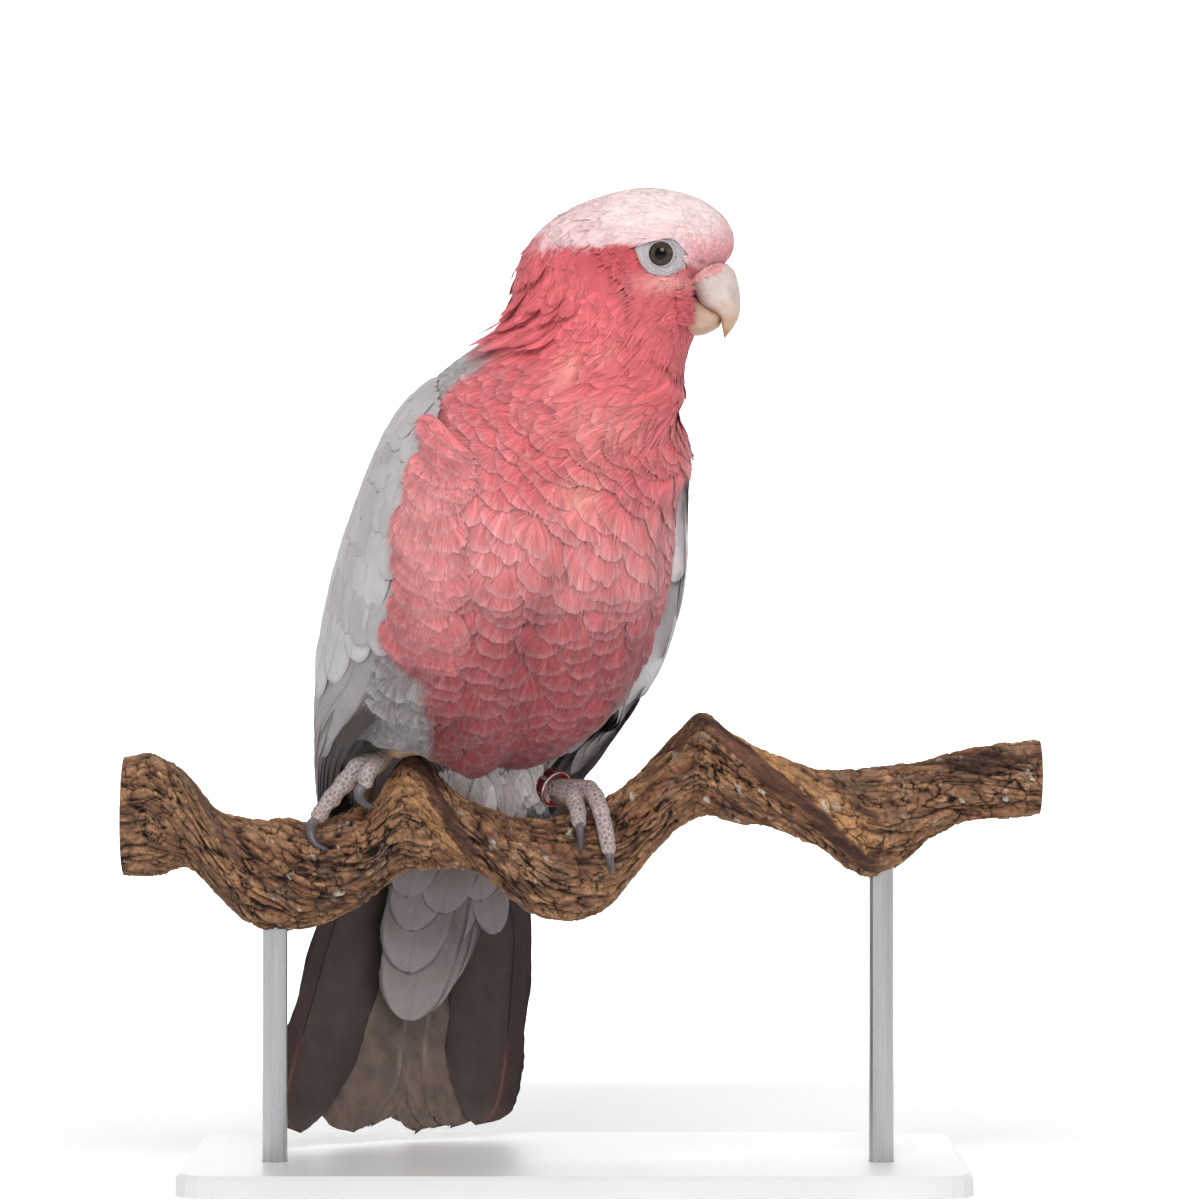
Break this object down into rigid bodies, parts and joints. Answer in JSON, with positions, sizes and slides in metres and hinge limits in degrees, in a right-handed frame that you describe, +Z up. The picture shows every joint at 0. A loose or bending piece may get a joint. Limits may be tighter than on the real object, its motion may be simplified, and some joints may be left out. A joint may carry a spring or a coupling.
{
  "type": "perched galah, museum-style model",
  "caption": "Life-size still model of an adult galah, a pink and grey cockatoo, standing on a cut length of twisted vine held by a plain display stand.",
  "frame": {"origin": "on the underside of the display stand's base, below the vine's middle line and under the bird", "axes": "+Z up; +X along the vine, towards the side the head is turned to; the bird's breast faces mostly -Y"},
  "size_m": [0.2926, 0.1575, 0.3152],
  "materials": {
    "crown_feathers": "soft matt, very pale pink",
    "rose_feathers": "soft matt, deep rose pink",
    "grey_feathers": "smooth matt, pale ash grey",
    "flight_feathers": "smooth, dark grey-brown",
    "tail_feathers": "smooth, dark brown-grey",
    "leg_down": "soft matt, pinkish white",
    "scaled_skin": "dry scaled skin, grey with pale rims",
    "claw_horn": "smooth dark horn",
    "bill_horn": "smooth bone-coloured horn, dry",
    "eye": "wet, dark brown",
    "band": "anodised deep red",
    "vine_bark": "rough cracked brown bark",
    "stand_board": "satin off-white",
    "stand_steel": "brushed"
  },
  "bodies": {
    "root": {"bill_lower": "bill_horn", "bill_upper": "bill_horn", "claw_left_inner_front": "claw_horn", "claw_left_inner_hind": "claw_horn", "claw_left_outer_front": "claw_horn", "claw_left_outer_hind": "claw_horn", "claw_right_inner_front": "claw_horn", "claw_right_inner_hind": "claw_horn", "claw_right_outer_front": "claw_horn", "claw_right_outer_hind": "claw_horn", "eye_left": "eye", "eye_right": "eye", "head": "crown_feathers", "leg_ring": "band", "neck": "rose_feathers", "perch": "vine_bark", "stand_base": "stand_board", "stand_rod_1": "stand_steel", "stand_rod_2": "stand_steel", "tail_left": "tail_feathers", "tail_middle": "tail_feathers", "tail_right": "tail_feathers", "tarsus_left": "scaled_skin", "tarsus_right": "scaled_skin", "thigh_left": "leg_down", "thigh_right": "leg_down", "toe_left_inner_front": "scaled_skin", "toe_left_inner_hind": "scaled_skin", "toe_left_outer_front": "scaled_skin", "toe_left_outer_hind": "scaled_skin", "toe_right_inner_front": "scaled_skin", "toe_right_inner_hind": "scaled_skin", "toe_right_outer_front": "scaled_skin", "toe_right_outer_hind": "scaled_skin", "trunk": "rose_feathers", "undertail_coverts": "grey_feathers", "wing_left_coverts": "grey_feathers", "wing_left_flight": "flight_feathers", "wing_right_coverts": "grey_feathers", "wing_right_flight": "flight_feathers"}
  },
  "joints": []
}
